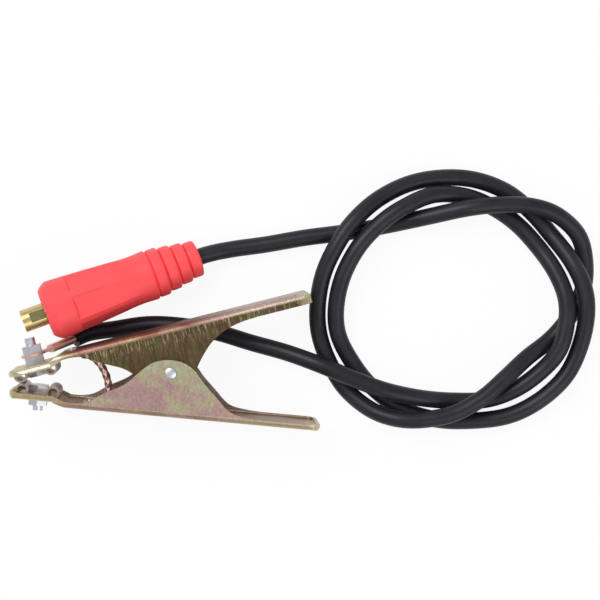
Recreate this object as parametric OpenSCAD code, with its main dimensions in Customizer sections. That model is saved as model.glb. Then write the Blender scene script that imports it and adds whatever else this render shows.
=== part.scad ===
// Welding earth clamp with its cable and bayonet plug, lying on a table.
// Millimetres, +Z up. The table is z = 0. The origin is under the middle of the clamp.

/* [Handles] */
// Thickness of the pressed steel sheet
sheet = 2; // [1.6:0.1:2.5]
// Outer width of the lower handle, which holds the pivot rivet
lower_w = 34; // [32:0.5:40]
// Side gap between the lower handle's ears and the upper handle
ear_gap = 0.5; // [0.3:0.1:1]
// Distance from the pivot to the back of each handle
pivot_h = 25.6; // [22:0.2:28]
// Reach of the jaw noses in front of the pivot
nose_x = 89.8; // [85:0.2:96]
// Reach of the handle ends behind the pivot
tail_x = 89; // [80:1:110]
// Step of the jaw towards the workpiece
joggle = 2.6; // [1:0.2:3]
// Height of the lip round each jaw
jaw_lip = 3.6; // [3.4:0.1:4.6]
// Height of the lip round the lower handle's grip
lower_lip = 3.3; // [3.2:0.1:6]
// Height of the lip round the upper handle's grip
upper_lip = 6.6; // [4:0.1:9]
// Outer radius of the sheet's bends
bend_r = 3; // [2.6:0.1:3.2]
// Corner radius of the jaw noses, seen from the back
nose_r = 9; // [5:0.5:11]
// Corner radius of the handle ends, seen from the back
tail_r = 6; // [4:0.5:10]
// Height of the ears past the pivot
ear_top = 7.5; // [6:0.5:10]

/* [Pose] */
// Direction of the clamp's middle line, between its handles
middle_angle = 4.15; // [3.5:0.05:6]
// Angle by which the jaw end is raised
pitch = 5; // [4.5:0.1:8]
// Angle by which the upper handle is raised
roll = 3.5; // [3:0.1:6]
// Angle by which the plug's front is raised, where it lies on the cable
plug_tilt = 13; // [10:0.5:14]

/* [Pivot] */
// Diameter of the pivot rivet's shank
rivet_d = 5; // [4:0.2:6]
// Diameter of the pivot rivet's heads
rivet_head_d = 6.6; // [6.4:0.2:10]
// Height of the pivot rivet's heads
rivet_head_h = 1.4; // [0.8:0.1:2]
// Wire diameter of the torsion spring
wire_d = 2.6; // [2:0.1:3]
// Mean diameter of the torsion spring's coil
coil_d = 14; // [12:0.5:15]
// Whole turns of the torsion spring
coil_turns = 5; // [3:1:5]
// Gap between the spring's turns
coil_gap = 0.6; // [0.5:0.1:1]
// Reach of the spring's legs behind the pivot
leg_x = 30; // [26:1:40]

/* [Contacts] */
// Thickness of the contact strips
strip = 1.2; // [0.8:0.1:1.5]
// Gap between the front arch and the inside of the nose
arch_gap = 0.8; // [0.5:0.1:1.5]
// Outer radius of the contact arches
arch_r = 3.8; // [3.4:0.1:4]
// Height of the contact arches over the inside of the jaws
arch_h = 6.2; // [5.6:0.1:7]
// Gap left between the front arches of the closed jaws
jaw_gap = 0.3; // [0.2:0.1:1]
// Distance from the pivot to the jaw bolts
bolt_x = 74.4; // [73:0.2:76]

/* [Fasteners] */
// Diameter of the jaw bolts
bolt_d = 6; // [5:0.5:6]
// Width across flats of the bolt heads and nuts
hex_af = 10; // [9:0.5:11]
// Height of the bolt heads
head_h = 4; // [3:0.2:4.4]
// Height of the nuts
nut_h = 4.5; // [4:0.1:6]
// Length of bolt that stands out past the lower jaw's nut
lower_bolt_end = 3; // [2:0.5:6]
// Length of bolt that stands out past the nut on the cable lug
upper_bolt_end = 4.5; // [2:0.5:6]
// Clearance of a bolt in a plain hole, all round
bolt_clear = 0.2; // [0.1:0.05:0.5]
// Clearance of a nut on its bolt, all round
thread_clear = 0.02; // [0.01:0.01:0.05]

/* [Cable lug] */
// Diameter of the lug's ring
ring_d = 14; // [13:0.5:18]
// Thickness of the lug's ring
ring_t = 1.6; // [1.2:0.1:2.4]
// Distance from the bolt to the start of the barrel
barrel_x = 11; // [9:0.5:14]
// Length of the crimped barrel
barrel_l = 15; // [10:0.5:20]
// Width of the crimped barrel
barrel_w = 9; // [8:0.2:10]
// Height of the crimped barrel
barrel_h = 4.6; // [4.4:0.2:7]
// Wall of the crimped barrel
barrel_wall = 1; // [0.8:0.1:1.5]
// Angle by which the barrel is bent away from the handle
lug_bend = 5.5; // [4:0.5:12]
// Angle by which the lug is swung down about its bolt
lug_swing = 32; // [28:1:36]

/* [Cable] */
// Outer diameter of the rubber jacket
cable_d = 10; // [9:0.2:10]
// Diameter of the bare copper strand
strand_d = 5.6; // [4.5:0.1:6]
// Length of bare strand between the lug and the jacket
strand_bare = 1.5; // [1:0.5:6]

/* [Shunt] */
// Diameter of the copper braid between the handles
braid_d = 5; // [3:0.5:5.5]
// Distance from the pivot to the shunt's tab in the upper handle
upper_tab_x = 52; // [46:0.5:52.5]
// Distance from the pivot to the shunt's tab in the lower handle
lower_tab_x = 44.5; // [38:0.5:46]
// Side of the shunt's square tabs
tab_w = 8; // [7:0.5:10]
// Thickness of the shunt's tabs
tab_t = 1.4; // [1:0.1:2]
// Diameter of the tab rivets
tab_rivet_d = 3; // [2.5:0.5:4]

/* [Plug] */
// Length of the rubber sleeve
sleeve_l = 95; // [92:1:105]
// Diameter of the sleeve's front collar
collar_d = 35.2; // [34:0.2:38]
// Length of the sleeve's front collar
collar_l = 25; // [20:1:27]
// Length of the collar's rounded front edge
collar_round = 5.5; // [3:0.5:10]
// Depth of the collar's rounded front edge
collar_drop = 4.6; // [4:0.2:6]
// Narrowing of the collar over its length, on the radius
collar_taper = 1; // [0:0.2:1.4]
// Distance from the sleeve's front to the start of its waist
waist_x = 44; // [38:1:50]
// Diameter of the sleeve's waist
waist_d = 30; // [28.4:0.2:32]
// Diameter of the last rib
rib_end_d = 22; // [19:0.5:24]
// Distance from the axis to the six grip flats
flat_r = 15; // [14.9:0.1:15.2]
// Number of ribs at the sleeve's tail
ribs = 4; // [3:1:5]
// Diameter of the brass pin
pin_d = 13; // [12:0.1:14]
// Length of pin that stands out of the sleeve
pin_l = 13.6; // [12:0.2:20]
// Length of plain pin in front of its groove
pin_plain = 4.6; // [3:0.2:7]
// Width of the groove along the pin
groove_w = 5.6; // [4:0.2:6]
// Depth of the groove along the pin
groove_t = 1.4; // [1:0.1:1.8]
// Diameter of the brass body inside the sleeve
body_d = 19; // [18:0.5:20]
// Length of the brass body inside the sleeve
body_l = 44; // [40:1:52]
// Depth of the hole in the front of the sleeve, round the pin
mouth_l = 15; // [14:0.5:18]
// Diameter of the hole in the front of the sleeve
mouth_d = 22; // [20.6:0.2:24]
// Diameter of the clamping screws in the brass body
screw_d = 8; // [6:0.5:8]
// Bore of the brass body for the cable strand
socket_d = 9; // [8:0.5:10]

/* [Hidden] */
$fn = 48;

zinc = "#b9ad72";
bright_zinc = "#c9ccd2";
copper = "#c98462";
copper_nickel = "#b39a8c";
brass = "#b59a4c";
rubber_black = "#2b2b31";
rubber_red = "#f0454e";
spring_steel = "#5c5d60";

upper_w = lower_w - 2 * (sheet + ear_gap);
web_y = -pivot_h;
jaw_y = web_y + joggle;
jaw_in = jaw_y + sheet;
web_in = web_y + sheet;
jaw_end = 64.5;
ramp_l = 7;
seat = 0.02;
run = 0.05;
bend_in = bend_r - sheet;
arch_front = nose_x - sheet - arch_r - arch_gap;
// The handles turn in until the front arches are jaw_gap apart
arch_in = -jaw_in + arch_r - arch_h;
half_open = acos((arch_r + jaw_gap / 2) / norm([arch_front, arch_in])) - atan2(arch_front, arch_in);
lower_angle = middle_angle - half_open;
upper_angle = middle_angle + half_open;

// ---------- outlines ----------
function arc(c, r, a0, a1, n = 6) =
    [for (i = [0:n]) c + r * [cos(a0 + (a1 - a0) * i / n), sin(a0 + (a1 - a0) * i / n)]];
function bezier(a, b, c, d, t) =
    pow(1 - t, 3) * a + 3 * t * pow(1 - t, 2) * b + 3 * t * t * (1 - t) * c + t * t * t * d;
// Catmull-Rom curve through a list of points, straight past both ends
function curve_at(p, i, t) =
    let (last = len(p) - 1, a = p[max(i - 1, 0)], b = p[i], c = p[min(i + 1, last)], d = p[min(i + 2, last)])
    b + t * (c - a + t * (2 * a - 5 * b + 4 * c - d + t * (3 * b - a - 3 * c + d))) / 2;
function curve(p, steps) =
    concat([for (i = [0:len(p) - 2]) for (s = [0:steps - 1]) curve_at(p, i, s / steps)], [p[len(p) - 1]]);

// Top edge of a handle's flange, from the jaw to the grip, with the ear round the pivot
function flange_top(lip) = curve([
    [-jaw_end + ramp_l, web_y + bend_r + 0.4], [-51, web_y + bend_r + 0.5], [-44, web_y + bend_r + 2.4],
    [-36, -14.8], [-25.5, -9], [-19, -2.6], [-12.5, ear_top - 3.8], [-6.5, ear_top - 0.9], [0, ear_top],
    [5.5, ear_top - 0.6], [10.5, ear_top - 2.6], [14.6, ear_top - 5.9], [20, -4.6], [27, -11.2],
    [36, web_y + lip + 3], [46, web_y + lip + 0.7], [56, web_y + lip]], 4);
function handle_side(lip) = concat(
    [[-nose_x, jaw_y + jaw_lip]],
    arc([-nose_x + bend_r, jaw_y + bend_r], bend_r, 180, 270),
    [[-jaw_end, jaw_y], [-jaw_end + ramp_l, web_y]],
    arc([tail_x - bend_r, web_y + bend_r], bend_r, -90, 0),
    [[tail_x, web_y + lip]],
    reverse(flange_top(lip)),
    [[-jaw_end, jaw_y + jaw_lip]]);
function cavity_side() = concat(
    arc([-nose_x + sheet + bend_in, jaw_in + bend_in], bend_in, 180, 270, 3),
    [[-jaw_end, jaw_in], [-jaw_end + ramp_l, web_in]],
    arc([tail_x - sheet - bend_in, web_in + bend_in], bend_in, -90, 0, 3),
    [[tail_x - sheet, 3 * pivot_h], [-nose_x + sheet, 3 * pivot_h]]);
function reverse(p) = [for (i = [len(p) - 1:-1:0]) p[i]];

// ---------- frames ----------
// Lowest corner of the lower handle's grip end sits on the table
low_x = tail_x - tail_r;
low_y = web_y + bend_r;
low_xy = [low_x * cos(lower_angle) - low_y * sin(lower_angle),
          low_x * sin(lower_angle) + low_y * cos(lower_angle)];
pivot_pos = [2.3, -6.1,
    bend_r + low_xy[0] * sin(pitch)
    - cos(pitch) * (low_xy[1] * sin(roll) - (lower_w / 2 - bend_r) * cos(roll))];
module lay() { translate(pivot_pos) rotate([roll, pitch, 0]) children(); }
module lower_frame() { lay() rotate([0, 0, lower_angle]) children(); }
module upper_frame() { lay() rotate([0, 0, upper_angle]) mirror([0, 1, 0]) children(); }
function turn_x(p, a) = [p[0], p[1] * cos(a) - p[2] * sin(a), p[1] * sin(a) + p[2] * cos(a)];
function turn_y(p, a) = [p[0] * cos(a) + p[2] * sin(a), p[1], -p[0] * sin(a) + p[2] * cos(a)];
function turn_z(p, a) = [p[0] * cos(a) - p[1] * sin(a), p[0] * sin(a) + p[1] * cos(a), p[2]];
function laid(p) = pivot_pos + turn_y(turn_x(p, roll), pitch);
function on_upper(p) = laid(turn_z([p[0], -p[1], p[2]], upper_angle));

// ---------- tubes ----------
function unit(v) = v / norm(v);
function tangent(p, i) = unit(p[min(i + 1, len(p) - 1)] - p[max(i - 1, 0)]);
function side_of(t) = abs(t[2]) > 0.9 ? unit(cross(t, [1, 0, 0])) : unit(cross(t, [0, 0, 1]));
// The ring's direction is carried along the path, so the tube doesn't twist
function carry(p, n, i = 0, u = undef, out = []) = i == n ? out
    : let (t = tangent(p, i), v = i == 0 ? side_of(t) : unit(u - (u * t) * t))
      carry(p, n, i + 1, v, concat(out, [v]));
function ring(c, t, u, r, sides) = let (v = cross(t, u))
    [for (k = [0:sides - 1]) c + r * (cos(360 * k / sides) * u + sin(360 * k / sides) * v)];
module tube(path, d, sides) {
    n = len(path);
    us = carry(path, n);
    rings = [for (i = [0:n - 1]) for (q = ring(path[i], tangent(path, i), us[i], d / 2, sides)) q];
    points = concat(rings, [path[0], path[n - 1]]);
    walls = [for (i = [0:n - 2]) for (k = [0:sides - 1])
        let (a = i * sides + k, b = i * sides + (k + 1) % sides, c = a + sides, e = b + sides)
        for (f = [[a, e, b], [a, c, e]]) f];
    starts = [for (k = [0:sides - 1]) [n * sides, k, (k + 1) % sides]];
    ends = [for (k = [0:sides - 1])
        [n * sides + 1, (n - 1) * sides + (k + 1) % sides, (n - 1) * sides + k]];
    polyhedron(points, concat(walls, starts, ends));
}
// Least distance between parts of a path that lie more than skip points apart
function least_gap(p, skip, d) =
    min([for (i = [0:len(p) - 1 - skip]) for (j = [i + skip:len(p) - 1]) norm(p[i] - p[j])]) - d;

// ---------- pressed handles ----------
module u_section(w, r, level, x0, x1) {
    translate([x0, 0, 0]) rotate([90, 0, 90]) linear_extrude(x1 - x0) {
        translate([level + r, -w / 2]) square([4 * pivot_h, w]);
        translate([level, -w / 2 + r]) square([r + 1, w - 2 * r]);
        for (s = [-1, 1]) translate([level + r, s * (w / 2 - r)]) circle(r);
    }
}
module plan(w, inset) {
    half = w / 2 - inset;
    x0 = -nose_x + inset;
    x1 = tail_x - inset;
    rn = nose_r - inset;
    rt = tail_r - inset;
    translate([0, 4 * pivot_h, 0]) rotate([90, 0, 0]) linear_extrude(8 * pivot_h) {
        translate([x0 + rn, -half]) square([x1 - rt - x0 - rn, 2 * half]);
        translate([x0, -half + rn]) square([rn + 1, 2 * (half - rn)]);
        translate([x1 - rt - 1, -half + rt]) square([rt + 1, 2 * (half - rt)]);
        for (s = [-1, 1]) {
            translate([x0 + rn, s * (half - rn)]) circle(rn);
            translate([x1 - rt, s * (half - rt)]) circle(rt);
        }
    }
}
module blank(w, lip) {
    intersection() {
        linear_extrude(w, center = true) polygon(handle_side(lip));
        plan(w, 0);
        union() {
            u_section(w, bend_r, web_y, -jaw_end, tail_x + 1);
            u_section(w, bend_r, jaw_y, -nose_x - 1, -jaw_end + 0.5);
        }
    }
}
module cavity(w) {
    intersection() {
        linear_extrude(w - 2 * sheet, center = true) polygon(cavity_side());
        plan(w, sheet);
        union() {
            u_section(w - 2 * sheet, bend_in, web_in, -jaw_end, tail_x + 1);
            u_section(w - 2 * sheet, bend_in, jaw_in, -nose_x - 1, -jaw_end + 0.5);
        }
    }
}
// A hole through the back of a handle, along y
module web_hole(x, d) { translate([-x, 0, 0]) rotate([90, 0, 0]) cylinder(d = d, h = 2 * pivot_h); }
module handle(w, lip, pivot_hole, tab_x) {
    difference() {
        blank(w, lip);
        cavity(w);
        cylinder(d = pivot_hole, h = 2 * w, center = true);
        web_hole(bolt_x, bolt_d + 2 * bolt_clear);
        web_hole(tab_x, tab_rivet_d + 2 * seat);
    }
}
module upper_handle() {
    color(zinc) upper_frame() handle(upper_w, upper_lip, rivet_d + 2 * run, upper_tab_x);
}
module lower_handle() {
    color(zinc) lower_frame() handle(lower_w, lower_lip, rivet_d + 2 * seat, lower_tab_x);
}

// ---------- pivot ----------
head_rim = 0.5;
module pivot_rivet() {
    color(bright_zinc) lay() rotate_extrude() polygon(concat(
        [[0, lower_w / 2 + rivet_head_h]],
        [for (i = [1:4]) [rivet_head_d / 2 * sin(i * 22.5),
            lower_w / 2 + head_rim + (rivet_head_h - head_rim) * cos(i * 22.5)]],
        [[rivet_head_d / 2, lower_w / 2], [rivet_d / 2, lower_w / 2],
         [rivet_d / 2, -lower_w / 2], [rivet_head_d / 2, -lower_w / 2]],
        [for (i = [4:-1:1]) [rivet_head_d / 2 * sin(i * 22.5),
            -lower_w / 2 - head_rim - (rivet_head_h - head_rim) * cos(i * 22.5)]],
        [[0, -lower_w / 2 - rivet_head_h]]));
}
// The spring's legs press on the inside of both backs and drive the grips apart
leg_gap = 0.1;
leg_y = -web_in - wire_d / 2 - leg_gap;
upper_leg = turn_z([leg_x, leg_y, 0], upper_angle);
lower_leg = turn_z([leg_x, -leg_y, 0], lower_angle);
leg_far = norm([leg_x, leg_y]);
leg_turn = acos(coil_d / 2 / leg_far);
coil_from = atan2(upper_leg[1], upper_leg[0]) + leg_turn;
coil_to = atan2(lower_leg[1], lower_leg[0]) - leg_turn + 360 * (coil_turns + 1);
coil_pitch = wire_d + coil_gap;
coil_rise = coil_pitch * (coil_to - coil_from) / 360;
coil_step = 45;
function coil_point(a) = [coil_d / 2 * cos(a), coil_d / 2 * sin(a),
    coil_rise / 2 - coil_pitch * (a - coil_from) / 360];
spring_path = concat(
    [[upper_leg[0], upper_leg[1], coil_rise / 2]],
    [for (a = [coil_from:coil_step:coil_to - coil_step / 3]) coil_point(a)],
    [coil_point(coil_to), [lower_leg[0], lower_leg[1], -coil_rise / 2]]);
module torsion_spring() { color(spring_steel) lay() tube(spring_path, wire_d, 8); }

// ---------- jaws ----------
// The strips are as wide as the rounded inside corners of the narrower nose allow
nose_in = nose_r - sheet;
corner_gap = 0.3;
contact_w = upper_w - 2 * sheet - 2 * nose_in
    + 2 * sqrt(nose_in * nose_in - (nose_in - arch_gap) * (nose_in - arch_gap)) - 2 * corner_gap;
arch_rear = 2 * bolt_x - arch_front;
foot_gap = 0.4;
arch_leg = arch_h - arch_r - foot_gap;
module arch(x) {
    translate([-x, jaw_in + arch_h - arch_r]) difference() {
        union() {
            circle(arch_r);
            translate([-arch_r, -arch_leg]) square([2 * arch_r, arch_leg]);
        }
        circle(arch_r - strip);
        translate([-arch_r + strip, -arch_h]) square([2 * (arch_r - strip), arch_h]);
        translate([-2 * arch_r, -arch_leg - 2 * arch_r]) square([4 * arch_r, 2 * arch_r]);
    }
}
module contact() {
    difference() {
        linear_extrude(contact_w, center = true) {
            arch(arch_front);
            arch(arch_rear);
            translate([-arch_front + arch_r - strip, jaw_in])
                square([arch_front - arch_rear - 2 * (arch_r - strip), strip]);
            translate([-arch_front + arch_r - strip, jaw_in]) square([strip, 2 * foot_gap]);
            translate([-arch_rear - arch_r, jaw_in]) square([strip, 2 * foot_gap]);
        }
        web_hole(bolt_x, bolt_d + 2 * bolt_clear);
    }
}
module upper_contact() { color(copper_nickel) upper_frame() contact(); }
module lower_contact() { color(copper_nickel) lower_frame() contact(); }

// Bolts and nuts are drawn along the handle's y axis, their flats towards the arches
module hexagon(level, h) {
    translate([-bolt_x, level, 0]) rotate([-90, 0, 0]) rotate(30)
        cylinder(d = hex_af / cos(30), h = h, $fn = 6);
}
module rod(level, h, d) { translate([-bolt_x, level, 0]) rotate([-90, 0, 0]) cylinder(d = d, h = h); }
bolt_seat = jaw_in + strip;
lug_level = jaw_y - nut_h - ring_t;
upper_end = lug_level - nut_h - upper_bolt_end;
lower_end = jaw_y - nut_h - lower_bolt_end;
module bolt(end) {
    hexagon(bolt_seat, head_h);
    rod(end, bolt_seat - end, bolt_d);
}
module nut(level) {
    difference() {
        hexagon(level, nut_h);
        rod(level - 1, nut_h + 2, bolt_d + 2 * thread_clear);
    }
}
module upper_bolt() { color(bright_zinc) upper_frame() bolt(upper_end); }
module lower_bolt() { color(bright_zinc) lower_frame() bolt(lower_end); }
module upper_seat_nut() { color(bright_zinc) upper_frame() nut(jaw_y - nut_h); }
module upper_clamp_nut() { color(bright_zinc) upper_frame() nut(lug_level - nut_h); }
module lower_nut() { color(bright_zinc) lower_frame() nut(jaw_y - nut_h); }

// ---------- cable lug ----------
neck_x = 6.5;
module lug_frame() {
    upper_frame() translate([-bolt_x, lug_level + ring_t / 2, 0]) rotate([0, lug_swing, 0]) children();
}
module barrel_frame() {
    lug_frame() translate([neck_x, 0, 0]) rotate([0, 0, -lug_bend]) translate([barrel_x - neck_x, 0, 0])
        children();
}
function in_barrel(p) =
    let (q = turn_z([p[0] + barrel_x - neck_x, p[1], p[2]], -lug_bend), a = lug_swing,
         r = turn_y([q[0] + neck_x, q[1], q[2]], a))
    on_upper([r[0] - bolt_x, r[1] + lug_level + ring_t / 2, r[2]]);
// Flattened round section, along x
module flat_tube(x0, l, w, h) {
    translate([x0, 0, 0]) rotate([90, 0, 90]) linear_extrude(l) {
        square([h, w - h], center = true);
        for (s = [-1, 1]) translate([0, s * (w - h) / 2]) circle(h / 2);
    }
}
palm_step = 0.5;
palm_w = barrel_w - 2 * palm_step;
module cable_lug() {
    color(copper) {
        lug_frame() difference() {
            union() {
                rotate([90, 0, 0]) cylinder(d = ring_d, h = ring_t, center = true);
                translate([0, -ring_t / 2, -palm_w / 2]) cube([neck_x, ring_t, palm_w]);
            }
            rotate([90, 0, 0]) cylinder(d = bolt_d + 2 * bolt_clear, h = 3 * ring_t, center = true);
        }
        barrel_frame() {
            translate([neck_x - barrel_x, -ring_t / 2, -palm_w / 2])
                cube([barrel_x - neck_x + barrel_wall, ring_t, palm_w]);
            difference() {
                flat_tube(0, barrel_l, barrel_w, barrel_h);
                flat_tube(barrel_wall, barrel_l, barrel_w - 2 * barrel_wall, barrel_h - 2 * barrel_wall);
            }
        }
    }
}
module lug_strand() {
    color(copper) barrel_frame() {
        flat_tube(barrel_wall + seat, barrel_l - barrel_wall, barrel_w - 2 * barrel_wall - 2 * seat,
            barrel_h - 2 * barrel_wall - 2 * seat);
        translate([barrel_l, 0, 0]) rotate([0, 90, 0]) cylinder(d = strand_d, h = strand_bare);
    }
}

// ---------- shunt ----------
module tab(x) {
    difference() {
        translate([-x - tab_w / 2, web_in, -tab_w / 2]) cube([tab_w, tab_t, tab_w]);
        web_hole(x, tab_rivet_d + 2 * seat);
    }
}
tab_head_rim = 1.2;
tab_head_d = tab_rivet_d + 2 * tab_head_rim;
tab_head_h = 1;
module tab_rivet(x) {
    translate([-x, web_y, 0]) rotate([-90, 0, 0]) {
        cylinder(d = tab_rivet_d, h = sheet + tab_t);
        translate([0, 0, -tab_head_h]) cylinder(d = tab_head_d, h = tab_head_h);
        translate([0, 0, sheet + tab_t]) cylinder(d = tab_head_d, h = tab_head_h);
    }
}
module upper_shunt_tab() { color(copper) upper_frame() tab(upper_tab_x); }
module lower_shunt_tab() { color(copper) lower_frame() tab(lower_tab_x); }
module upper_tab_rivet() { color(bright_zinc) upper_frame() tab_rivet(upper_tab_x); }
module lower_tab_rivet() { color(bright_zinc) lower_frame() tab_rivet(lower_tab_x); }
braid_y = -web_in - braid_d / 2 - leg_gap;
braid_bow = 13;
braid_a = [-upper_tab_x + tab_w / 2, braid_y, 0];
braid_b = [-lower_tab_x + tab_w / 2, -braid_y, 0];
braid_bends = [turn_z(braid_a, upper_angle), turn_z(braid_a + [braid_bow, 0, 0], upper_angle),
    turn_z(braid_b + [braid_bow, 0, 0], lower_angle), turn_z(braid_b, lower_angle)];
braid_path = [for (i = [0:12])
    bezier(braid_bends[0], braid_bends[1], braid_bends[2], braid_bends[3], i / 12)];
module shunt_braid() { color(copper) lay() tube(braid_path, braid_d, 8); }

// ---------- plug ----------
collar_r = collar_d / 2;
waist_r = waist_d / 2;
rib_pitch = 7.4;
rib_half = 3.3;
rib_crown = 0.9;
rib_round = 0.4;
rib_slope = 1;
tail_drop = 0.8;
rib_end = 0.3;
rib_x = sleeve_l - rib_half - rib_end - (ribs - 1) * rib_pitch;
rib_first_r = waist_r - rib_round;
function rib_r(i) = rib_first_r + (rib_end_d / 2 - rib_first_r) * i / (ribs - 1);
groove_depth = 1.5;
rib_lead = 5;
waist_swell = 0.3;
function rib_points(i) = let (x = rib_x + i * rib_pitch, r = rib_r(i))
    [[x - rib_half, r - groove_depth], [x - rib_half + rib_slope, r - rib_round], [x - rib_crown, r],
     [x + rib_crown, r], [x + rib_half - rib_slope, r - rib_round], [x + rib_half, r - groove_depth]];
sleeve_outline = concat(
    [for (a = [0:22.5:90]) [collar_round * (1 - cos(a)), collar_r - collar_drop * (1 - sin(a))]],
    [[collar_l, collar_r - collar_taper], [waist_x, waist_r + waist_swell], [rib_x - rib_lead, waist_r]],
    [for (i = [0:ribs - 1]) for (p = rib_points(i)) p],
    [[sleeve_l, rib_end_d / 2 - groove_depth - tail_drop]]);
plug_heading = 21;
plug_xy = [-69.8, 26.8];
plug_z = max([for (p = sleeve_outline) p[0] * sin(plug_tilt) + p[1] * cos(plug_tilt)]);
module plug_frame() {
    translate([plug_xy[0], plug_xy[1], plug_z]) rotate([0, plug_tilt, plug_heading]) children();
}
function in_plug(x) = [plug_xy[0], plug_xy[1], plug_z] + turn_z(turn_y([x, 0, 0], plug_tilt), plug_heading);
flat_from = 16.5;
flat_to = waist_x + 4;
flat_turn = 16;
rear_gap = 1;
module along(d, x0, l) { translate([x0, 0, 0]) rotate([0, 90, 0]) cylinder(d = d, h = l); }
module plug_sleeve() {
    color(rubber_red) plug_frame() difference() {
        rotate([90 + flat_turn, 0, 0]) rotate([0, 90, 0]) rotate_extrude()
            polygon(concat([[0, 0]], [for (p = sleeve_outline) [p[1], p[0]]], [[0, sleeve_l]]));
        along(mouth_d, -1, mouth_l + 1);
        along(body_d + 2 * seat, 1, body_end - 1 + rear_gap / 2);
        along(cable_d + 2 * bolt_clear, 1, sleeve_l);
        for (i = [0:5]) rotate([flat_turn + 60 * i, 0, 0])
            translate([flat_from, -collar_d, flat_r]) cube([flat_to - flat_from, 2 * collar_d, collar_r]);
    }
}
last_screw = 10;
screw_pitch = 12;
key_depth = 2;
key_af = 4;
body_end = mouth_l + body_l;
screw_x = [body_end - last_screw - screw_pitch, body_end - last_screw];
socket_l = 30;
module plug_pin_body() {
    color(brass) plug_frame() difference() {
        union() {
            along(pin_d, -pin_l, pin_l + mouth_l);
            along(body_d, mouth_l, body_l);
        }
        translate([pin_plain - pin_l, -groove_w / 2, pin_d / 2 - groove_t])
            cube([pin_l - pin_plain, groove_w, pin_d]);
        along(socket_d, body_end - socket_l, socket_l + 1);
        for (x = screw_x) translate([x, 0, 0]) cylinder(d = screw_d + 2 * thread_clear, h = body_d);
    }
}
ferrule_wall = 0.6;
ferrule_d = strand_d + 2 * ferrule_wall + 2 * seat;
// The screws' rims stay inside the round body
screw_top = sqrt(body_d * body_d - screw_d * screw_d) / 2 - 0.1;
module plug_screws() {
    color(bright_zinc) plug_frame() for (x = screw_x) translate([x, 0, ferrule_d / 2]) difference() {
        cylinder(d = screw_d, h = screw_top - ferrule_d / 2);
        translate([0, 0, screw_top - ferrule_d / 2 - key_depth])
            cylinder(d = key_af / cos(30), h = body_d, $fn = 6);
    }
}
cable_from = body_end + rear_gap;
ferrule_l = 26;
module plug_ferrule() {
    color(copper) plug_frame() difference() {
        along(ferrule_d, cable_from - rear_gap - ferrule_l, ferrule_l);
        along(strand_d + 2 * seat, cable_from - rear_gap - ferrule_l - 1, ferrule_l + 2);
    }
}
module plug_strand() {
    color(copper) plug_frame() along(strand_d, cable_from - rear_gap - ferrule_l, ferrule_l + rear_gap);
}

// ---------- cable ----------
// The cable as it lies: out of the plug, two and a half loose turns, back under the upper handle
route = [
    // to the coil and across it, on the table, then over the two turns at the far side
    [36, 65, 6], [57, 68, 5], [80, 72, 5], [103, 75, 5], [127, 79, 5], [152, 84, 9],
    [177, 89, 16], [197, 91, 16], [215, 90, 16],
    // down the right, under the other turns, and up and over them to the bottom
    [230, 85, 14], [243, 74, 10], [248, 60, 7], [248, 43, 5], [241, 27, 5], [229, 12, 5],
    [213, 0, 9], [199, -12, 14], [186, -23, 16], [170, -32, 16], [153, -36, 16],
    // first turn: up the left and over the plug end, to the right again
    [136, -36, 15], [120, -31, 10], [105, -19, 6], [95, -3, 5], [89, 14, 5], [88, 31, 7],
    [91, 49, 11], [98, 65, 15], [108, 80, 16], [123, 94, 12], [142, 104, 8], [162, 108, 6],
    [182, 107, 5], [201, 100, 5], [216, 88, 5], [228, 74, 6], [239, 57, 14], [246, 40, 16],
    // second turn
    [247, 23, 15], [243, 4, 12], [235, -12, 10], [220, -26, 8], [202, -35, 6], [180, -38, 5],
    [158, -37, 5], [137, -30, 5], [119, -16, 5], [107, 0, 6], [100, 15, 8],
    [99, 31, 10], [103, 49, 13], [112, 66, 16], [124, 79, 16], [138, 89, 16], [156, 97, 12],
    [175, 97, 8], [192, 91, 5],
    // third half turn, under the crossing at the bottom
    [208, 80, 5], [221, 65, 8], [230, 50, 13], [235, 35, 16], [235, 20, 16], [231, 5, 15],
    [222, -7, 11], [208, -18, 8], [191, -25, 5], [171, -26, 5], [150, -24, 10],
    // over the left of the coil, between the grips, under the upper handle, up to the lug
    [128, -19, 16], [109, -12, 16], [90, -4, 16], [70, 3, 10], [48, 9, 6], [28, 15, 5],
    [7, 19, 5], [-14, 20, 5], [-35, 17, 7]];
on_table = cable_d / 2 + 0.02;
exit_l = 4;
lug_reach = barrel_l + strand_bare;
cable_points = concat([in_plug(cable_from), in_plug((cable_from + sleeve_l) / 2), in_plug(sleeve_l + exit_l)],
    route, [in_barrel([lug_reach + cable_d, 0, 0]), in_barrel([lug_reach, 0, 0])]);
function raised(p) = [p[0], p[1], max(p[2], on_table)];
cable_path = [for (p = cable_points) raised(p)];
module cable_jacket() { color(rubber_black) tube(cable_path, cable_d, 10); }

echo(cable_length = len_of(cable_path), cable_gap = least_gap(curve(cable_path, 4), 12, cable_d));
echo(spring_gap = least_gap([for (a = [coil_from:coil_step / 3:coil_to]) coil_point(a)], 12, wire_d));
echo(pivot = pivot_pos, lower = lower_angle, upper = upper_angle, tilt = plug_tilt, height = plug_z);
echo(lug = in_barrel([lug_reach, 0, 0]), approach = in_barrel([lug_reach + cable_d, 0, 0]));
function len_of(p, i = 0, t = 0) = i > len(p) - 2 ? t : len_of(p, i + 1, t + norm(p[i + 1] - p[i]));

upper_handle();
lower_handle();
pivot_rivet();
torsion_spring();
upper_contact();
lower_contact();
upper_bolt();
lower_bolt();
upper_seat_nut();
upper_clamp_nut();
lower_nut();
cable_lug();
lug_strand();
cable_jacket();
shunt_braid();
upper_shunt_tab();
lower_shunt_tab();
upper_tab_rivet();
lower_tab_rivet();
plug_sleeve();
plug_pin_body();
plug_screws();
plug_ferrule();
plug_strand();
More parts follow.
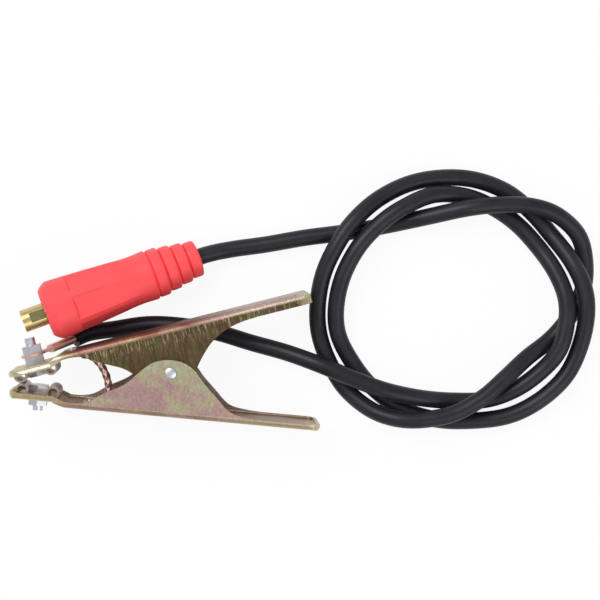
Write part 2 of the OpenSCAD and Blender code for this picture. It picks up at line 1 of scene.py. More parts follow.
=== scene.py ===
"""Looks of the welding earth clamp: cable, plug, pressed handles, contacts and fasteners, on a white table."""
import math

import bpy
from mathutils import Matrix, Vector


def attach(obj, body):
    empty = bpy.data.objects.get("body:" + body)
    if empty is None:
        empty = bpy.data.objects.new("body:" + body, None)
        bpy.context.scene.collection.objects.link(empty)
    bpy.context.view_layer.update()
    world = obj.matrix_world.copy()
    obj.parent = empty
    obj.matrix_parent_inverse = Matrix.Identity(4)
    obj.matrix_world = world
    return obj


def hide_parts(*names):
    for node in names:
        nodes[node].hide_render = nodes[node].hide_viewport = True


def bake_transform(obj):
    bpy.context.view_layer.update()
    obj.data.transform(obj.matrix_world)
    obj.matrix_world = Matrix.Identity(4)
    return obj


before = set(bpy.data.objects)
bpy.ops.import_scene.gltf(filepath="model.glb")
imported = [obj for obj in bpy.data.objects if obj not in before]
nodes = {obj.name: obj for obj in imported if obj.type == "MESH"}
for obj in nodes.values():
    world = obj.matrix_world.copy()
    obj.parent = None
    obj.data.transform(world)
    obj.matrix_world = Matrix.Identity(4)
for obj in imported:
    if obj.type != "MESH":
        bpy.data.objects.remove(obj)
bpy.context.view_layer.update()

# Shapes are in millimetres and degrees, and MM turns them into Blender's metres. Materials are in metres.
MM = 0.001


def turn(degrees, axis):
    return Matrix.Rotation(math.radians(degrees), 4, axis)


def shift(x, y, z):
    return Matrix.Translation(Vector((x, y, z)) * MM)


def link(obj):
    bpy.context.scene.collection.objects.link(obj)
    return obj


# ---------------------------------------------------------------- camera
CAMERA_AT = (77.4, 34.6, 700.0)
LENS, SENSOR_W, FAR_CLIP_M = 69.34, 36, 20
camera_data = bpy.data.cameras.new("camera")
camera_data.lens = LENS
camera_data.sensor_width = SENSOR_W
camera_data.clip_end = FAR_CLIP_M
camera = link(bpy.data.objects.new("camera", camera_data))
camera.location = [v * MM for v in CAMERA_AT]
bpy.context.scene.camera = camera

# ---------------------------------------------------------------- places, as in the part's source
PIVOT_AT, PITCH, ROLL = (2.3, -6.1, 25.7959), 5, 3.5
LOWER_TURN, UPPER_TURN = -5.79611, 14.0961
PLUG_AT, PLUG_YAW, PLUG_TILT = (-69.8, 26.8, 31.4811), 21, 13
WEB_IN, LEG_GAP = -23.6, 0.1
BOLT_X, LUG_Y, RING_T, LUG_SWING, LUG_BEND = 74.4, -29.1, 1.6, 32, 5.5
NECK_X, BARREL_X, BARREL_L, STRAND_BARE = 6.5, 11, 15, 1.5
LAY = shift(*PIVOT_AT) @ turn(PITCH, "Y") @ turn(ROLL, "X")
UPPER = LAY @ turn(UPPER_TURN, "Z") @ Matrix.Diagonal((1, -1, 1, 1))
LOWER = LAY @ turn(LOWER_TURN, "Z")
PLUG = shift(*PLUG_AT) @ turn(PLUG_YAW, "Z") @ turn(PLUG_TILT, "Y")
LUG = UPPER @ shift(-BOLT_X, LUG_Y + RING_T / 2, 0) @ turn(LUG_SWING, "Y")
BARREL = LUG @ shift(NECK_X, 0, 0) @ turn(-LUG_BEND, "Z") @ shift(BARREL_X - NECK_X, 0, 0)


def at(place, x, y=0.0, z=0.0):
    return place @ (Vector((x, y, z)) * MM)


def polar(x, y, degrees):
    """The point (x, y) turned about the origin."""
    a = math.radians(degrees)
    return x * math.cos(a) - y * math.sin(a), x * math.sin(a) + y * math.cos(a)


def spaced(low, high, count):
    """Evenly spaced numbers from low to high."""
    return [low + i * (high - low) / (count - 1) for i in range(count)]


def smooth(points, steps):
    """Catmull-Rom curve through the points."""
    out = []
    last = len(points) - 1
    for i in range(last):
        a, b, c, d = (points[j] for j in (max(i - 1, 0), i, i + 1, min(i + 2, last)))
        square, cube = 2 * a - 5 * b + 4 * c - d, 3 * b - a - 3 * c + d
        for s in range(steps):
            t = s / steps
            out.append(b + 0.5 * t * ((c - a) + t * (square + t * cube)))
    out.append(points[last])
    return out


def grid_mesh(name, rings, sharp=35):
    """A skin over rings of equally many points, closed by a flat cap at each end.

    Its UV map has u round each ring and v along them in metres. Edges that bend by more than sharp degrees stay
    crisp."""
    sides = len(rings[0])
    verts = [v for ring in rings for v in ring]
    centres = [sum(ring, Vector()) / sides for ring in rings]
    run = [0.0]
    for a, b in zip(centres, centres[1:]):
        run.append(run[-1] + (b - a).length)
    faces, uvs = [], []
    for i in range(len(rings) - 1):
        this, following = i * sides, (i + 1) * sides
        for k in range(sides):
            beside = (k + 1) % sides
            faces.append((this + k, this + beside, following + beside, following + k))
            uvs += [(k / sides, run[i]), ((k + 1) / sides, run[i])]
            uvs += [((k + 1) / sides, run[i + 1]), (k / sides, run[i + 1])]
    faces += [tuple(reversed(range(sides))), tuple(range(len(verts) - sides, len(verts)))]
    uvs += [(0.0, 0.0)] * (2 * sides)
    mesh = bpy.data.meshes.new(name)
    mesh.from_pydata(verts, [], faces)
    layer = mesh.uv_layers.new(name="UVMap")
    for corner, uv in zip(layer.data, uvs):
        corner.uv = uv
    mesh.polygons.foreach_set("use_smooth", [True] * len(mesh.polygons))
    mesh.set_sharp_from_angle(angle=math.radians(sharp))
    mesh.update()
    return link(bpy.data.objects.new(name, mesh))


def swept(name, path, sides, radius):
    """A tube along a path. radius is a function of the ring's number and the angle round it, in metres."""
    rings = []
    side = None
    angles = [2 * math.pi * k / sides for k in range(sides)]
    for i, point in enumerate(path):
        along = (path[min(i + 1, len(path) - 1)] - path[max(i - 1, 0)]).normalized()
        if side is None:
            side = along.orthogonal().normalized()
        side = (side - side.dot(along) * along).normalized()
        other = along.cross(side)
        rings.append([point + radius(i, a) * (math.cos(a) * side + math.sin(a) * other) for a in angles])
    return grid_mesh(name, rings)


# ---------------------------------------------------------------- cable
CABLE_R = 5 * MM
ON_TABLE = 5.02 * MM
CABLE_SIDES, ROUTE_STEPS = 32, 6
CABLE_FROM, SLEEVE_L, STRAIGHT, LUG_LEAD = 60, 95, 4, 10
LUG_REACH = BARREL_L + STRAND_BARE
ROUTE = (
    (36, 65, 6), (57, 68, 5), (80, 72, 5), (103, 75, 5), (127, 79, 5), (152, 84, 9),
    (177, 89, 16), (197, 91, 16), (215, 90, 16),
    (230, 85, 14), (243, 74, 10), (248, 60, 7), (248, 43, 5), (241, 27, 5), (229, 12, 5),
    (213, 0, 9), (199, -12, 14), (186, -23, 16), (170, -32, 16), (153, -36, 16),
    (136, -36, 15), (120, -31, 10), (105, -19, 6), (95, -3, 5), (89, 14, 5), (88, 31, 7),
    (91, 49, 11), (98, 65, 15), (108, 80, 16), (123, 94, 12), (142, 104, 8), (162, 108, 6),
    (182, 107, 5), (201, 100, 5), (216, 88, 5), (228, 74, 6), (239, 57, 14), (246, 40, 16),
    (247, 23, 15), (243, 4, 12), (235, -12, 10), (220, -26, 8), (202, -35, 6), (180, -38, 5),
    (158, -37, 5), (137, -30, 5), (119, -16, 5), (107, 0, 6), (100, 15, 8),
    (99, 31, 10), (103, 49, 13), (112, 66, 16), (124, 79, 16), (138, 89, 16), (156, 97, 12),
    (175, 97, 8), (192, 91, 5),
    (208, 80, 5), (221, 65, 8), (230, 50, 13), (235, 35, 16), (235, 20, 16), (231, 5, 15),
    (222, -7, 11), (208, -18, 8), (191, -25, 5), (171, -26, 5), (150, -24, 10),
    (128, -19, 16), (109, -12, 16), (90, -4, 16), (70, 3, 10), (48, 9, 6), (28, 15, 5),
    (7, 19, 5), (-14, 20, 5), (-35, 17, 7),
)
route = [at(PLUG, x) for x in (CABLE_FROM, (CABLE_FROM + SLEEVE_L) / 2, SLEEVE_L + STRAIGHT)]
route += [Vector(p) * MM for p in ROUTE]
route += [at(BARREL, LUG_REACH + LUG_LEAD), at(BARREL, LUG_REACH)]
cable_line = smooth(route, ROUTE_STEPS)
for p in cable_line:
    p.z = max(p.z, ON_TABLE)
cable = swept("cable", cable_line, CABLE_SIDES, lambda i, a: CABLE_R)
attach(cable, "upper_side")
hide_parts("cable_jacket")

# ---------------------------------------------------------------- plug sleeve
COLLAR_R, COLLAR_END_R, COLLAR_L = 17.6, 16.6, 25
FRONT_L, FRONT_DROP, FRONT_FLATNESS, FRONT_RINGS = 5.5, 4.6, 0.6, 10
WAIST_X, WAIST_FROM_R, WAIST_R, WAIST_DIP = 44, 15.3, 15, 0.5
RIBS, RIB_PITCH, RIB_X, RIB_HALF, RIB_FIRST_R, RIB_LAST_R = 4, 7.4, 69.2, 3.6, 14.6, 11
LEAD_X, LEAD_L, GROOVE, GROOVE_STEEPNESS = 64.2, 1.7, 1.5, 7
PANEL_FROM, PANEL_FADE, PANEL_TO, PANEL_EVERY, PANEL_TURN, PANEL_HALF = 16.5, 34, 60, 60, 16, 24
PANEL_STEP, PANEL_EDGE = 0.25, 0.1
MOUTH_R, MOUTH_L, MOUTH_EASE_X, MOUTH_EASE_R = 11, 15, 0.6, 0.5
CAP_R, CAP_X = 9.6, 24  # the skin's front end, hidden inside the brass body
TAIL_R, BORE_R, BORE_X = 8.7, 5.3, 88
SLEEVE_SIDES = 180
COLLAR_RINGS = (8, 11, 14)
PANEL_RINGS, WAIST_RINGS = 21, 4
RIB_RINGS_FROM, RIB_RINGS_TO, RIB_RINGS = 64.5, 94.6, 121


def sleeve_radius(x):
    """The sleeve's outer radius: chamfered front, collar, hollow waist and flat-topped ribs."""
    if x < FRONT_L:
        left = 1 - x / FRONT_L
        drop = FRONT_FLATNESS * left + (1 - FRONT_FLATNESS) * (1 - math.sqrt(1 - left * left))
        return COLLAR_R - FRONT_DROP * drop
    if x <= COLLAR_L:
        return COLLAR_R + (COLLAR_END_R - COLLAR_R) * (x - FRONT_L) / (COLLAR_L - FRONT_L)
    if x <= WAIST_X:
        return COLLAR_END_R + (WAIST_FROM_R - COLLAR_END_R) * (x - COLLAR_L) / (WAIST_X - COLLAR_L)
    if x <= LEAD_X:
        t = (x - WAIST_X) / (LEAD_X - WAIST_X)
        return WAIST_FROM_R + (WAIST_R - WAIST_FROM_R) * t - WAIST_DIP * math.sin(math.pi * t)
    nearest = min(RIBS - 1, max(0, round((x - RIB_X) / RIB_PITCH)))
    crown = RIB_FIRST_R + (RIB_LAST_R - RIB_FIRST_R) * nearest / (RIBS - 1)
    off_crown = min(1.0, abs(x - RIB_X - nearest * RIB_PITCH) / RIB_HALF)
    rib = crown - GROOVE * off_crown ** GROOVE_STEEPNESS
    if x < RIB_X - RIB_HALF:
        return max(rib, WAIST_R - GROOVE * ((x - LEAD_X) / LEAD_L) ** 2)
    return rib


def sleeve_ring(x, radius=None, panels=False):
    """One ring of the sleeve. Panels are sunk a little below the round surface, and fade out at the waist."""
    r = sleeve_radius(x) if radius is None else radius
    sunk = r * math.cos(math.radians(PANEL_HALF)) - PANEL_STEP
    fade = min(1.0, max(0.0, (x - PANEL_FADE) / (PANEL_TO - PANEL_FADE)))
    ring = []
    for k in range(SLEEVE_SIDES):
        degrees = 360 * k / SLEEVE_SIDES
        off = (degrees - PANEL_TURN + PANEL_EVERY / 2) % PANEL_EVERY - PANEL_EVERY / 2
        here = r
        if panels and abs(off) < PANEL_HALF:
            here += (1 - fade) * (sunk / math.cos(math.radians(off)) - r)
        a = math.radians(degrees)
        ring.append(at(PLUG, x, -here * math.sin(a), here * math.cos(a)))
    return ring


rings = [sleeve_ring(CAP_X, CAP_R), sleeve_ring(MOUTH_L, CAP_R), sleeve_ring(MOUTH_L, MOUTH_R),
         sleeve_ring(MOUTH_EASE_X, MOUTH_R), sleeve_ring(0, MOUTH_R + MOUTH_EASE_R)]
rings += [sleeve_ring(FRONT_L * (i / (FRONT_RINGS - 1)) ** 2) for i in range(FRONT_RINGS)]
rings += [sleeve_ring(x) for x in (*COLLAR_RINGS, PANEL_FROM - PANEL_EDGE)]
rings += [sleeve_ring(x, panels=True)
          for x in spaced(PANEL_FROM + 2 * PANEL_EDGE, PANEL_TO - 2 * PANEL_EDGE, PANEL_RINGS)]
rings += [sleeve_ring(x) for x in spaced(PANEL_TO + PANEL_EDGE, LEAD_X, WAIST_RINGS)]
rings += [sleeve_ring(x) for x in spaced(RIB_RINGS_FROM, RIB_RINGS_TO, RIB_RINGS)]
rings += [sleeve_ring(SLEEVE_L, TAIL_R), sleeve_ring(SLEEVE_L, BORE_R), sleeve_ring(BORE_X, BORE_R)]
sleeve = grid_mesh("plug_sleeve_moulded", rings, sharp=13)
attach(sleeve, "upper_side")
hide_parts("plug_sleeve")

# ---------------------------------------------------------------- torsion spring
WIRE_R, WIRE_SIDES, COIL_R, COIL_TURNS, COIL_PITCH, COIL_STEPS, LEG_X = 1.3, 16, 7, 5, 3.2, 130, 30
LEG_Y = -WEB_IN - WIRE_R - LEG_GAP
upper_leg = polar(LEG_X, LEG_Y, UPPER_TURN)
lower_leg = polar(LEG_X, -LEG_Y, LOWER_TURN)
leg_turn = math.degrees(math.acos(COIL_R / math.hypot(LEG_X, LEG_Y)))
coil_from = math.degrees(math.atan2(upper_leg[1], upper_leg[0])) + leg_turn
coil_to = math.degrees(math.atan2(lower_leg[1], lower_leg[0])) - leg_turn + 360 * (COIL_TURNS + 1)
coil_rise = COIL_PITCH * (coil_to - coil_from) / 360
spring_line = [at(LAY, *upper_leg, coil_rise / 2)]
for a in spaced(coil_from, coil_to, COIL_STEPS + 1):
    spring_line.append(at(LAY, *polar(COIL_R, 0, a), coil_rise / 2 - COIL_PITCH * (a - coil_from) / 360))
spring_line.append(at(LAY, *lower_leg, -coil_rise / 2))
spring = swept("torsion_spring_wire", spring_line, WIRE_SIDES, lambda i, a: WIRE_R * MM)
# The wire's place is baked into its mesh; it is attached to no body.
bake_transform(spring)
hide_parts("torsion_spring")

# ---------------------------------------------------------------- shunt braid
BRAID_R, BRAID_BOW, UPPER_TAB, LOWER_TAB, TAB_HALF = 2.5, 13, 52, 44.5, 4
BRAID_STEPS, BRAID_SIDES = 96, 48
STRANDS, STRAND_LEADS = 8, 9
STRAND_SINK, STRAND_RISE, CROSSING_RISE = 0.5, 0.22, 0.06
BRAID_Y = -WEB_IN - BRAID_R - LEG_GAP
upper_end, lower_end = (-UPPER_TAB + TAB_HALF, BRAID_Y), (-LOWER_TAB + TAB_HALF, -BRAID_Y)
bends = [polar(*upper_end, UPPER_TURN), polar(upper_end[0] + BRAID_BOW, upper_end[1], UPPER_TURN),
         polar(lower_end[0] + BRAID_BOW, lower_end[1], LOWER_TURN), polar(*lower_end, LOWER_TURN)]
braid_line = []
for i in range(BRAID_STEPS + 1):
    t = i / BRAID_STEPS
    weights = ((1 - t) ** 3, 3 * t * (1 - t) ** 2, 3 * t * t * (1 - t), t ** 3)
    x, y = (sum(w * b[j] for w, b in zip(weights, bends)) for j in (0, 1))
    braid_line.append(at(LAY, x, y))


def braid_radius(i, a):
    """Two sets of flat strands that cross: one set lies higher where the other dips."""
    twist = 2 * math.pi * STRAND_LEADS * i / BRAID_STEPS
    one, two = math.cos(STRANDS * a / 2 + twist), math.cos(STRANDS * a / 2 - twist)
    return (BRAID_R - STRAND_SINK + STRAND_RISE * max(one, two) + CROSSING_RISE * one * two) * MM


braid = swept("shunt_braid_woven", braid_line, BRAID_SIDES, braid_radius)
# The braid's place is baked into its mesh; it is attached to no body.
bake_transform(braid)
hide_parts("shunt_braid")

# ---------------------------------------------------------------- material helpers
WHITE = (1.0, 1.0, 1.0)
MIX_FACTOR, MIX_A, MIX_B, MIX_RESULT = 0, 6, 7, 2  # the Mix node's sockets for colours


def new_material(name, colour, metallic, roughness):
    material = bpy.data.materials.new(name)
    material.use_nodes = True
    tree = material.node_tree
    shader = tree.nodes["Principled BSDF"]
    shader.inputs["Base Color"].default_value = (*colour, 1)
    shader.inputs["Metallic"].default_value = metallic
    shader.inputs["Roughness"].default_value = roughness
    return material, tree, shader


def feed(tree, socket, value):
    """Gives a socket a value: another node's output, a colour or a number."""
    if hasattr(value, "links"):
        tree.links.new(value, socket)
    elif isinstance(value, tuple):
        socket.default_value = (*value, 1)
    else:
        socket.default_value = value


def axes(tree, piece, place):
    """Coordinates in metres in the axes of a place on the object, for one piece: a vector, and its x, y and z."""
    centre, rotation, size = (place.inverted() @ piece.matrix_world).decompose()
    coordinates = tree.nodes.new("ShaderNodeTexCoord")
    mapping = tree.nodes.new("ShaderNodeMapping")
    mapping.inputs["Location"].default_value = centre
    mapping.inputs["Rotation"].default_value = rotation.to_euler("XYZ")
    mapping.inputs["Scale"].default_value = size
    split = tree.nodes.new("ShaderNodeSeparateXYZ")
    tree.links.new(coordinates.outputs["Object"], mapping.inputs["Vector"])
    tree.links.new(mapping.outputs["Vector"], split.inputs["Vector"])
    return mapping.outputs["Vector"], *split.outputs


def noise(tree, scale, detail=4, rough=0.5, stretch=(1, 1, 1), distort=0, vector=None):
    """Noise over the given coordinates, or over the object's own, in metres."""
    mapping = tree.nodes.new("ShaderNodeMapping")
    mapping.inputs["Scale"].default_value = stretch
    texture = tree.nodes.new("ShaderNodeTexNoise")
    texture.inputs["Scale"].default_value = scale
    texture.inputs["Detail"].default_value = detail
    texture.inputs["Roughness"].default_value = rough
    texture.inputs["Distortion"].default_value = distort
    if vector is None:
        vector = tree.nodes.new("ShaderNodeTexCoord").outputs["Object"]
    tree.links.new(vector, mapping.inputs["Vector"])
    tree.links.new(mapping.outputs["Vector"], texture.inputs["Vector"])
    return texture.outputs["Fac"]


def ramp(tree, value, stops):
    """A colour ramp through (position, colour) stops."""
    node = tree.nodes.new("ShaderNodeValToRGB")
    band = node.color_ramp
    while len(band.elements) < len(stops):
        band.elements.new(0.5)
    for element, (position, colour) in zip(band.elements, stops):
        element.position = position
        element.color = (*colour, 1)
    tree.links.new(value, node.inputs["Fac"])
    return node.outputs["Color"]


def mix(tree, a, b, factor, kind="MIX"):
    node = tree.nodes.new("ShaderNodeMix")
    node.data_type = "RGBA"
    node.blend_type = kind
    feed(tree, node.inputs[MIX_A], a)
    feed(tree, node.inputs[MIX_B], b)
    feed(tree, node.inputs[MIX_FACTOR], factor)
    return node.outputs[MIX_RESULT]


def maths(tree, kind, *values):
    node = tree.nodes.new("ShaderNodeMath")
    node.operation = kind
    for socket, value in zip(node.inputs, values):
        feed(tree, socket, value)
    return node.outputs[0]


def about_zero(tree, value, share):
    """Noise, which lies about 0.5, moved to lie about 0 and scaled."""
    return maths(tree, "MULTIPLY", maths(tree, "SUBTRACT", value, 0.5), share)


def span(tree, value, between, to=(0, 1)):
    """The value's place between two limits, clamped and put on another scale."""
    node = tree.nodes.new("ShaderNodeMapRange")
    tree.links.new(value, node.inputs["Value"])
    for name, number in zip(("From Min", "From Max", "To Min", "To Max"), (*between, *to)):
        node.inputs[name].default_value = number
    return node.outputs["Result"]


def bump(tree, shader, height, distance, strength):
    node = tree.nodes.new("ShaderNodeBump")
    node.inputs["Distance"].default_value = distance
    node.inputs["Strength"].default_value = strength
    tree.links.new(height, node.inputs["Height"])
    tree.links.new(node.outputs["Normal"], shader.inputs["Normal"])


# ---------------------------------------------------------------- yellow zinc
# Limits along a handle's own axes, in metres: x runs from the jaw to the tail, y from the web to the ears.
BANDS_Y, BANDS_TONE = (-0.024, 0.012), (0.22, 0.78)
MARKS_Y = (-0.0215, -0.0125)
WEB_Y = (-0.0222, -0.0228)
# The band where a painted highlight runs along the web's bend.
BEND_HIGHLIGHT_Y = (-0.0230, -0.0226)
JAW_X, JAW_WANDER, JAW_SHARE = (-0.044, -0.064), 0.03, 0.85
WEB_X = (0.015, 0.055)
TAIL_X, TAIL_SHARE = (0.080, 0.087), 0.7
# Limits of noise between which a colour comes in.
MARKS_SEEN, GOLD_SEEN, PINK_SEEN, TAIL_SEEN = (0.54, 0.66), (0.46, 0.60), (0.50, 0.64), (0.42, 0.56)
MOTTLE_SHARE, BRUSH_SHARE, GRAIN_SHARE = 0.55, 0.75, 0.8
TONES_SEEN, ZINC_ROUGHNESS, WEAR_HEIGHT = (0.2, 0.8), (0.34, 0.48), 1.5
# The second colour is a painted highlight at the tail's end.
MARK_COLOUR, TAIL_HIGHLIGHT_COLOUR = (0.56, 0.50, 0.30), (0.86, 0.82, 0.50)
ZINC, GOLD, PINK = (0.50, 0.47, 0.32), (0.54, 0.50, 0.28), (0.56, 0.34, 0.35)
BRUSHED = ((0.40, (0.50, 0.47, 0.42)), (0.58, WHITE))
GRAINED = ((0.34, (0.60, 0.57, 0.54)), (0.62, WHITE))

# In both looks the web's front colour is partly painted reflection and painted shade, and the bend line's colour
# is a painted highlight.
LOWER_LOOKS = {
    "tones": ((0.10, (0.52, 0.40, 0.33)), (0.26, (0.60, 0.37, 0.38)), (0.40, (0.58, 0.42, 0.36)),
              (0.50, (0.56, 0.50, 0.32)), (0.64, (0.52, 0.50, 0.34)), (0.84, (0.54, 0.55, 0.44))),
    "drift_share": 1.8, "streaks": 0.2, "web_patches": 0.6,
    "web_front_with_reflection": (0.40, 0.27, 0.19), "web_tail": (0.42, 0.29, 0.22),
    "bend_highlight_colour": (0.72, 0.60, 0.40), "jaw_colour": (0.60, 0.50, 0.26),
}
# The upper web's dark red front is painted reflection of the red plug and the black cable, with painted shade.
UPPER_LOOKS = {
    "tones": ((0.10, (0.22, 0.19, 0.08)), (0.26, (0.15, 0.13, 0.05)), (0.42, (0.18, 0.11, 0.06)),
              (0.58, (0.14, 0.11, 0.05)), (0.74, (0.19, 0.11, 0.07)), (0.90, (0.17, 0.14, 0.07))),
    "drift_share": 1.4, "streaks": 0.9, "web_patches": 0.3,
    "web_front_with_reflection": (0.22, 0.09, 0.06), "web_tail": (0.60, 0.45, 0.43),
    "bend_highlight_colour": (0.52, 0.34, 0.23), "jaw_colour": (0.78, 0.72, 0.50),
}


def zinc_yellow(name, piece, place, tones, drift_share, streaks, web_patches, web_front_with_reflection, web_tail, bend_highlight_colour,
                jaw_colour):
    """Yellow-passivated zinc: bands of colour from the web to the ears, pressing marks, a bright jaw, a painted
    highlight at the tail, a web coloured partly with painted reflection of the plug and cable and painted shade,
    a painted highlight along its bend, and rolling grain over everything.

    drift_share, streaks and web_patches say how much the bands drift, the marks show, and the web turns gold and
    pink in patches."""
    material, tree, shader = new_material(name, ZINC, metallic=0.8, roughness=0.38)
    vector, x, y, _ = axes(tree, piece, place)
    drift = noise(tree, 48, detail=5, rough=0.62, stretch=(0.8, 1.1, 1), distort=0.5, vector=vector)
    broad = noise(tree, 34, detail=4, rough=0.6, stretch=(0.6, 1, 1), distort=0.8, vector=vector)
    mottle = noise(tree, 300, detail=5, rough=0.7, vector=vector)
    brushed = noise(tree, 620, detail=3, rough=0.6, stretch=(1, 0.16, 0.16), distort=0.3, vector=vector)
    marks = noise(tree, 950, detail=2, rough=0.6, stretch=(1, 0.14, 0.14), distort=0.35, vector=vector)
    grain = noise(tree, 1100, detail=5, rough=0.75, stretch=(1, 0.7, 0.4), vector=vector)

    uneven = maths(tree, "ADD", about_zero(tree, drift, drift_share), about_zero(tree, mottle, MOTTLE_SHARE))
    tone = maths(tree, "ADD", span(tree, y, BANDS_Y, BANDS_TONE), uneven)
    colour = ramp(tree, tone, tones)
    colour = mix(tree, colour, ramp(tree, brushed, BRUSHED), BRUSH_SHARE * streaks, "MULTIPLY")

    marked = maths(tree, "MULTIPLY", span(tree, marks, MARKS_SEEN), span(tree, y, MARKS_Y, (1, 0)))
    wear = maths(tree, "MULTIPLY", marked, streaks)
    colour = mix(tree, colour, MARK_COLOUR, wear)

    wandering_x = maths(tree, "ADD", x, about_zero(tree, drift, JAW_WANDER))
    jaw = span(tree, wandering_x, JAW_X, (0, JAW_SHARE))
    colour = mix(tree, colour, jaw_colour, jaw)

    # The web's colour: partly the zinc's own tone and patches, partly painted reflection of the plug and cable
    # and painted shade.
    web_colour_with_reflection = mix(tree, web_front_with_reflection, web_tail, span(tree, x, WEB_X))
    web_colour_with_reflection = mix(tree, web_colour_with_reflection, GOLD, span(tree, broad, GOLD_SEEN, (0, web_patches)))
    web_colour_with_reflection = mix(tree, web_colour_with_reflection, PINK, span(tree, drift, PINK_SEEN, (0, web_patches)))
    web = maths(tree, "MULTIPLY", span(tree, y, WEB_Y), maths(tree, "SUBTRACT", 1, jaw))
    colour = mix(tree, colour, web_colour_with_reflection, web)
    # Painted highlight: a thin pale line along the web's bend.
    colour = mix(tree, colour, bend_highlight_colour, maths(tree, "MULTIPLY", web, span(tree, y, BEND_HIGHLIGHT_Y)))

    # Painted highlight: pale yellow patches near the tail's end.
    tail = maths(tree, "MULTIPLY", span(tree, x, TAIL_X), span(tree, drift, TAIL_SEEN, (0, TAIL_SHARE)))
    colour = mix(tree, colour, TAIL_HIGHLIGHT_COLOUR, tail)
    colour = mix(tree, colour, ramp(tree, grain, GRAINED), GRAIN_SHARE, "MULTIPLY")
    tree.links.new(colour, shader.inputs["Base Color"])
    tree.links.new(span(tree, tone, TONES_SEEN, ZINC_ROUGHNESS), shader.inputs["Roughness"])
    height = maths(tree, "ADD", grain, maths(tree, "MULTIPLY", wear, WEAR_HEIGHT))
    bump(tree, shader, height, distance=0.00008, strength=0.5)
    return material


# ---------------------------------------------------------------- bare metals and rubber
PIN_GROOVE_HALF, PIN_GROOVE_FLOOR, PIN_GROOVE_REACH = 0.00285, 0.0051, 0.0003
PIN_GROOVE_COLOUR = (0.30, 0.27, 0.12)
GRAIN_MIDDLE = (0.3, 0.7)
PALE_LIFT, RUBBER_SPREAD = 0.004, 0.08


def around(middle, spread):
    return middle - spread, middle + spread


def metal(name, colour, roughness, scale=400, spread=0.12, tint=0.25, stretch=(1, 1, 1), lines=None, shine=1.0):
    """Bare or plated metal with a fine grain.

    spread is how far its roughness varies, tint how much darker the grain is, and lines a (piece, place) whose
    length the grain follows."""
    material, tree, shader = new_material(name, colour, shine, roughness)
    vector = axes(tree, *lines)[0] if lines else None
    grain = noise(tree, scale, detail=5, rough=0.6, stretch=stretch, vector=vector)
    dull = tuple(c * (1 - tint) for c in colour)
    tree.links.new(ramp(tree, grain, ((0.35, dull), (0.65, colour))), shader.inputs["Base Color"])
    tree.links.new(span(tree, grain, GRAIN_MIDDLE, around(roughness, spread)), shader.inputs["Roughness"])
    bump(tree, shader, grain, distance=0.00003, strength=0.4)
    return material


def plug_brass(piece):
    """Machined brass with a shadowed, dull floor in the pin's groove."""
    material = metal("brass", (0.66, 0.52, 0.25), 0.3, scale=500, spread=0.06, tint=0.15, stretch=(0.3, 1, 1),
                     lines=(piece, PLUG))
    tree = material.node_tree
    base = tree.nodes["Principled BSDF"].inputs["Base Color"]
    y, z = axes(tree, piece, PLUG)[2:]
    within = maths(tree, "LESS_THAN", maths(tree, "ABSOLUTE", y), PIN_GROOVE_HALF)
    above = maths(tree, "ABSOLUTE", maths(tree, "SUBTRACT", z, PIN_GROOVE_FLOOR))
    floor = maths(tree, "MULTIPLY", within, maths(tree, "LESS_THAN", above, PIN_GROOVE_REACH))
    tree.links.new(mix(tree, base.links[0].from_socket, PIN_GROOVE_COLOUR, floor), base)
    return material


def rubber(name, colour, roughness, grain_scale, scuff, specular):
    """Moulded rubber with a fine grain and cloudy, slightly paler scuffs."""
    material, tree, shader = new_material(name, colour, metallic=0.0, roughness=roughness)
    shader.inputs["Specular IOR Level"].default_value = specular
    grain = noise(tree, grain_scale, detail=4, rough=0.6)
    cloud = noise(tree, 60, detail=3, rough=0.5)
    pale = tuple(min(1, c * (1 + scuff) + PALE_LIFT) for c in colour)
    tree.links.new(ramp(tree, cloud, ((0.35, colour), (0.75, pale))), shader.inputs["Base Color"])
    tree.links.new(span(tree, grain, GRAIN_MIDDLE, around(roughness, RUBBER_SPREAD)), shader.inputs["Roughness"])
    bump(tree, shader, grain, distance=0.00004, strength=0.4)
    return material


bpy.context.view_layer.update()
zinc_lower = zinc_yellow("yellow_zinc_lower", nodes["lower_handle"], LOWER, **LOWER_LOOKS)
zinc_upper = zinc_yellow("yellow_zinc_upper", nodes["upper_handle"], UPPER, **UPPER_LOOKS)
bright_zinc = metal("bright_zinc", (0.76, 0.77, 0.84), 0.34, scale=700, spread=0.06, tint=0.12)
copper = metal("copper", (0.86, 0.56, 0.46), 0.4, scale=900, spread=0.1, tint=0.35, stretch=(0.12, 1, 1),
               lines=(nodes["cable_lug"], BARREL), shine=0.8)
braid_copper = metal("braid_copper", (0.86, 0.55, 0.47), 0.36, scale=500)
contact_copper = metal("contact_copper", (0.60, 0.50, 0.46), 0.36)
brass = plug_brass(nodes["plug_pin_body"])
spring_steel = metal("spring_steel", (0.22, 0.22, 0.23), 0.4)
cable_rubber = rubber("cable_rubber", (0.010, 0.010, 0.015), 0.4, grain_scale=1500, scuff=0.6, specular=0.3)
red_rubber = rubber("red_rubber", (0.95, 0.07, 0.078), 0.5, grain_scale=1200, scuff=0.12, specular=0.4)
for piece, finish in ((cable, cable_rubber), (sleeve, red_rubber), (spring, spring_steel), (braid, braid_copper)):
    piece.data.materials.append(finish)

FINISHES = {
    zinc_upper: ("upper_handle",),
    zinc_lower: ("lower_handle",),
    bright_zinc: ("pivot_rivet", "upper_bolt", "lower_bolt", "upper_seat_nut", "upper_clamp_nut", "lower_nut",
                  "upper_tab_rivet", "lower_tab_rivet", "plug_screws"),
    copper: ("cable_lug", "lug_strand", "upper_shunt_tab", "lower_shunt_tab", "plug_ferrule", "plug_strand"),
    contact_copper: ("upper_contact", "lower_contact"),
    brass: ("plug_pin_body",),
}
for finish, names in FINISHES.items():
    for name in names:
        data = nodes[name].data
        data.materials.clear()
        data.materials.append(finish)

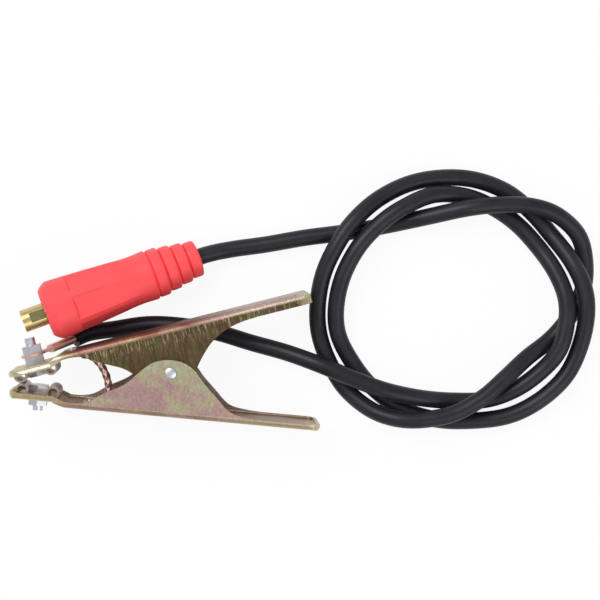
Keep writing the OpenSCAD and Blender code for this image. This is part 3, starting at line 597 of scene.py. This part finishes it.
# ---------------------------------------------------------------- light and floor, in metres and watts
AMBIENT, SEEN_WORLD, FLOOR_GLOW = 0.55, 1.0, 0.92
LAMPS_AIM_AT = (0.05, 0.03, 0)
LAMPS = (("key", (-0.5, 0.6, 1.1), 0.8, 11), ("fill", (0.8, -0.7, 1.0), 0.9, 5))
FLOOR_HALF, FLOOR_COLOUR, FLOOR_ROUGHNESS = 6, (0.9, 0.9, 0.9), 0.9

world = bpy.data.worlds.new("studio")
world.use_nodes = True
bpy.context.scene.world = world
tree = world.node_tree
background = tree.nodes["Background"]
path = tree.nodes.new("ShaderNodeLightPath")
seen = maths(tree, "MAXIMUM", path.outputs["Is Camera Ray"], path.outputs["Is Transmission Ray"])
tree.links.new(span(tree, seen, (0, 1), (AMBIENT, SEEN_WORLD)), background.inputs["Strength"])
background.inputs["Color"].default_value = (*WHITE, 1)

for name, place, size, power in LAMPS:
    data = bpy.data.lights.new(name, "AREA")
    data.size = size
    data.energy = power
    lamp = link(bpy.data.objects.new(name, data))
    lamp.location = place
    lamp.rotation_euler = (Vector(LAMPS_AIM_AT) - Vector(place)).to_track_quat("-Z", "Y").to_euler()

corners = [(x * FLOOR_HALF, y * FLOOR_HALF, 0) for x, y in ((-1, -1), (1, -1), (1, 1), (-1, 1))]
floor_mesh = bpy.data.meshes.new("floor")
floor_mesh.from_pydata(corners, [], [(0, 1, 2, 3)])
floor = link(bpy.data.objects.new("floor", floor_mesh))
material, tree, shader = new_material("floor", FLOOR_COLOUR, metallic=0.0, roughness=FLOOR_ROUGHNESS)
glow = tree.nodes.new("ShaderNodeEmission")
path = tree.nodes.new("ShaderNodeLightPath")
blend = tree.nodes.new("ShaderNodeMixShader")
tree.links.new(span(tree, path.outputs["Is Camera Ray"], (0, 1), (0, FLOOR_GLOW)), blend.inputs["Fac"])
tree.links.new(shader.outputs["BSDF"], blend.inputs[1])
tree.links.new(glow.outputs["Emission"], blend.inputs[2])
tree.links.new(blend.outputs["Shader"], tree.nodes["Material Output"].inputs["Surface"])
floor_mesh.materials.append(material)

bpy.context.scene.view_settings.view_transform = "Standard"

bpy.context.view_layer.update()
